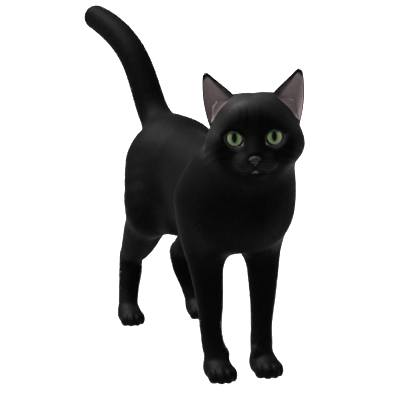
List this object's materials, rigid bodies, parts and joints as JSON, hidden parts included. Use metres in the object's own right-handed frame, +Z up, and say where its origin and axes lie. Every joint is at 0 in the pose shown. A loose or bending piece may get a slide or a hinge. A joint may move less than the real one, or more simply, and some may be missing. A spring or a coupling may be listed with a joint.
{
  "type": "cat",
  "caption": "Domestic short-haired cat standing on its feet, head turned a little to one side and tail raised in a curve.",
  "frame": {"origin": "centre of the bounding box's bottom face, on the floor under the belly", "axes": "+Z up; the cat faces -Y, so Y runs from its nose to its tail; +X is the cat's left"},
  "size_m": [0.149, 0.5216, 0.3908],
  "materials": {
    "coat": "short, flat-lying, glossy black fur",
    "ear": "black fur outside, thinly haired greyish pink skin inside",
    "eye": "wet, light green iris with a dark upright pupil",
    "nose": "dark grey nose leather, slightly moist"
  },
  "bodies": {
    "root": {"belly": "coat", "chest": "coat", "ear_left": "ear", "ear_right": "ear", "eye_left": "eye", "eye_right": "eye", "front_left_forearm": "coat", "front_left_paw": "coat", "front_left_shoulder": "coat", "front_right_forearm": "coat", "front_right_paw": "coat", "front_right_shoulder": "coat", "head": "coat", "hind_left_foot": "coat", "hind_left_paw": "coat", "hind_left_shank": "coat", "hind_left_thigh": "coat", "hind_right_foot": "coat", "hind_right_paw": "coat", "hind_right_shank": "coat", "hind_right_thigh": "coat", "neck": "coat", "nose": "nose", "rump": "coat", "tail_base": "coat", "tail_middle": "coat", "tail_tip": "coat"}
  },
  "joints": []
}
